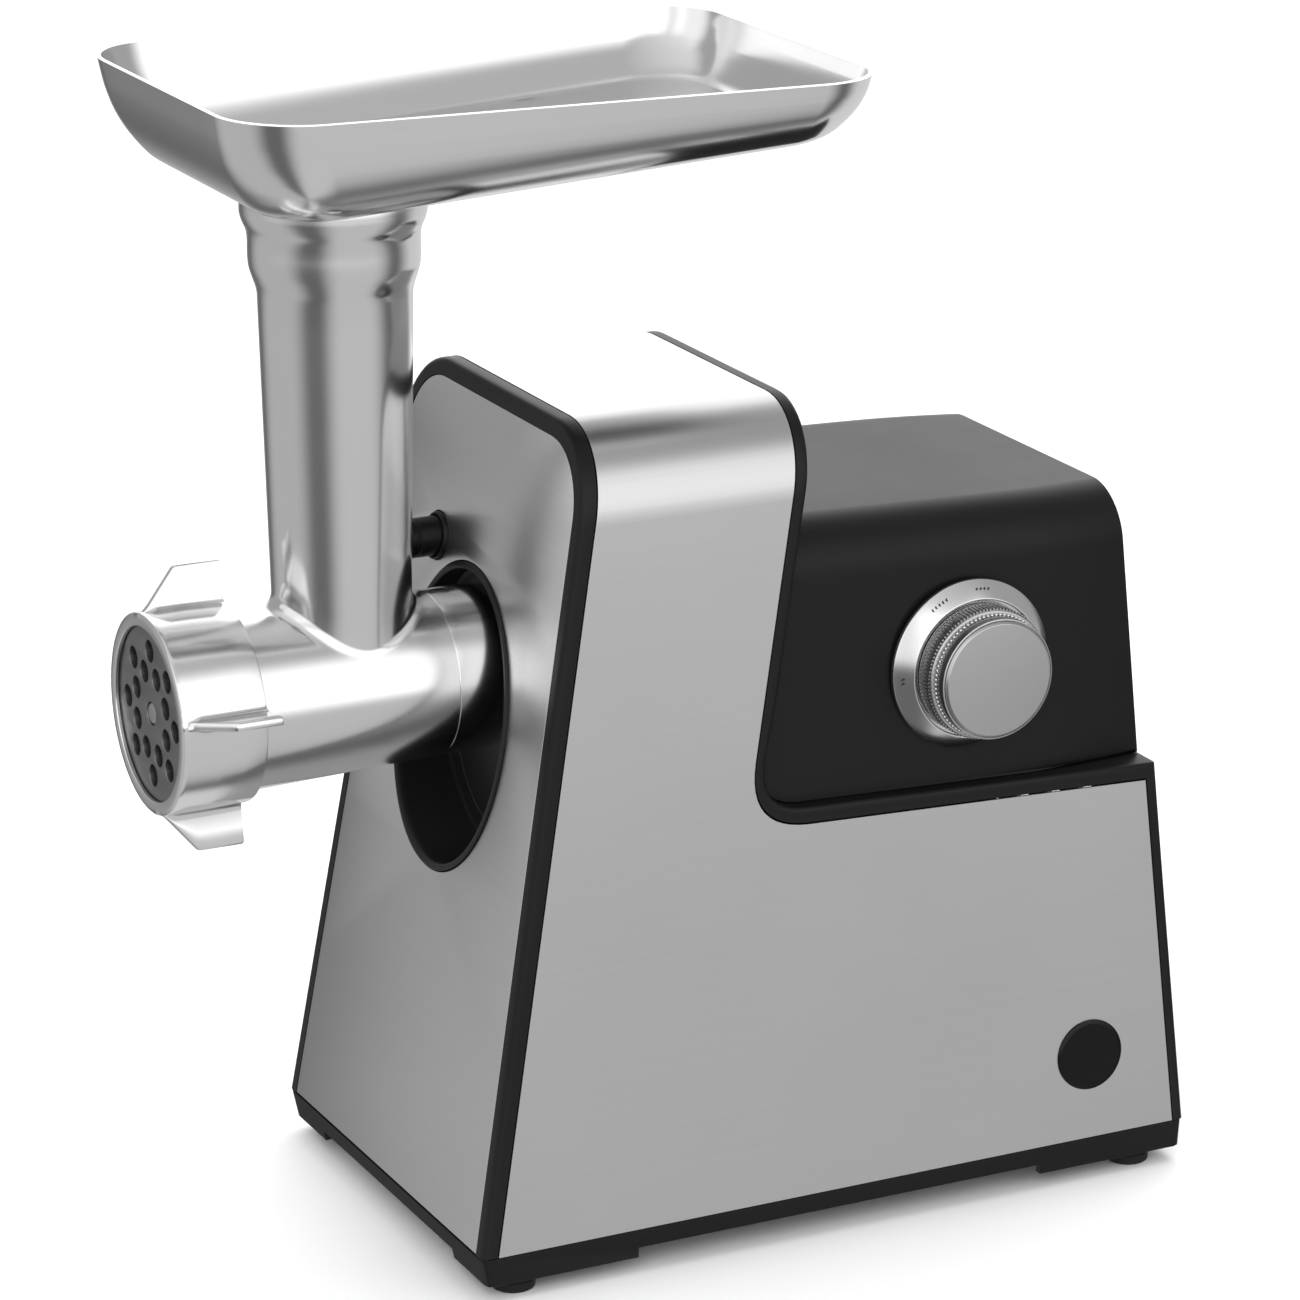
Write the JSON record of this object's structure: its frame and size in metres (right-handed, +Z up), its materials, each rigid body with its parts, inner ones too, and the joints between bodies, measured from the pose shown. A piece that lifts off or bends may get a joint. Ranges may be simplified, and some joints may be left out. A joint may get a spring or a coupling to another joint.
{
  "type": "electric meat grinder",
  "caption": "Free-standing electric meat grinder: steel-wrapped motor body with a side dial, a cast grinding head with feed tube, ring nut and plate, and a hopper tray on top.",
  "frame": {"origin": "centre of the base wall's underside, on the body's middle plane", "axes": "+Z up, -Y towards the grinding head, +X towards the dial"},
  "size_m": [0.1579, 0.322, 0.3605],
  "materials": {
    "black": "fine moulded texture",
    "dark": "satin",
    "gloss_black": "glossy",
    "rubber": "matte",
    "brushed": "brushed, satin",
    "satin_steel": "turned, satin",
    "polished": "polished casting",
    "tray": "drawn and polished",
    "plate_steel": "ground, dark",
    "cast": "as cast",
    "steel_parts": "machined",
    "nylon": "natural",
    "copper": "lacquered wire",
    "bronze": "sintered",
    "board": "laminate board"
  },
  "bodies": {
    "housing": {"base_moulding": "black", "foot_front_left": "rubber", "foot_front_right": "rubber", "foot_rear_left": "rubber", "foot_rear_right": "rubber", "housing_shell": "black", "side_wrap": "brushed", "front_frame": "black", "front_plate": "brushed", "motor_housing": "black", "rear_panel": "dark", "inlet_gland": "rubber", "badge_disc": "gloss_black", "head_socket": "black", "button_collar": "black", "button_guide": "dark", "dial_bezel": "satin_steel", "rotary_switch": "nylon", "suppressor_board": "board", "gearbox_case": "cast", "gearbox_cover": "cast", "output_bush": "bronze", "motor_stator": "steel_parts", "field_coil_left": "copper", "field_coil_right": "copper", "brush_holder_left": "copper", "brush_holder_right": "copper", "motor_front_bearing": "steel_parts", "motor_rear_bearing": "steel_parts", "motor_bracket": "cast", "motor_cradle": "dark", "base_screw_1": "steel_parts", "base_screw_2": "steel_parts", "base_screw_3": "steel_parts", "base_screw_4": "steel_parts"},
    "head": {"grinder_head": "polished", "cutting_plate": "plate_steel"},
    "ring": {"ring_nut": "polished"},
    "tray": {"hopper_tray": "tray"},
    "screw": {"output_gear": "steel_parts", "auger": "cast", "cross_blade": "steel_parts"},
    "middle_shaft": {"middle_gear": "nylon"},
    "first_shaft": {"first_gear": "nylon"},
    "motor_shaft": {"motor_rotor": "steel_parts", "motor_fan": "dark"},
    "button": {"release_button": "dark", "button_spring": "steel_parts"},
    "dial": {"dial_knob": "satin_steel", "knob_cap": "satin_steel"}
  },
  "joints": [
    {"name": "head_twist", "type": "hinge", "parent": "housing", "child": "head", "pos_m": [0, -0.083, 0.166], "axis": [0, 1, 0], "range_deg": [0, 45]},
    {"name": "ring_unscrew", "type": "hinge", "parent": "head", "child": "ring", "pos_m": [0, -0.18, 0.166], "axis": [0, 1, 0], "range_deg": [0, 270]},
    {"name": "tray_lift", "type": "slide", "parent": "head", "child": "tray", "axis": [0, 0, 1], "range_m": [0, 0.02]},
    {"name": "screw_spin", "type": "hinge", "parent": "housing", "child": "screw", "pos_m": [0, -0.07, 0.166], "axis": [0, 1, 0], "continuous": true},
    {"name": "middle_shaft_spin", "type": "hinge", "parent": "housing", "child": "middle_shaft", "pos_m": [0, -0.055, 0.1284], "axis": [0, 1, 0], "continuous": true},
    {"name": "first_shaft_spin", "type": "hinge", "parent": "housing", "child": "first_shaft", "pos_m": [0, -0.045, 0.1034], "axis": [0, 1, 0], "continuous": true},
    {"name": "motor_spin", "type": "hinge", "parent": "housing", "child": "motor_shaft", "pos_m": [0, 0.01, 0.07965], "axis": [0, 1, 0], "continuous": true},
    {"name": "button_press", "type": "slide", "parent": "housing", "child": "button", "axis": [0, 1, 0], "range_m": [0, 0.005], "stiffness_N_per_m": 600, "springref_m": -0.002, "deforming": ["button_spring"]},
    {"name": "dial_turn", "type": "hinge", "parent": "housing", "child": "dial", "pos_m": [0.063, 0.0472, 0.1654], "axis": [1, 0, 0], "range_deg": [-50, 50]}
  ],
  "couplings": [
    {"joint": "middle_shaft_spin", "follows": "screw_spin", "ratio": -4},
    {"joint": "first_shaft_spin", "follows": "screw_spin", "ratio": 16},
    {"joint": "motor_spin", "follows": "screw_spin", "ratio": -60}
  ]
}
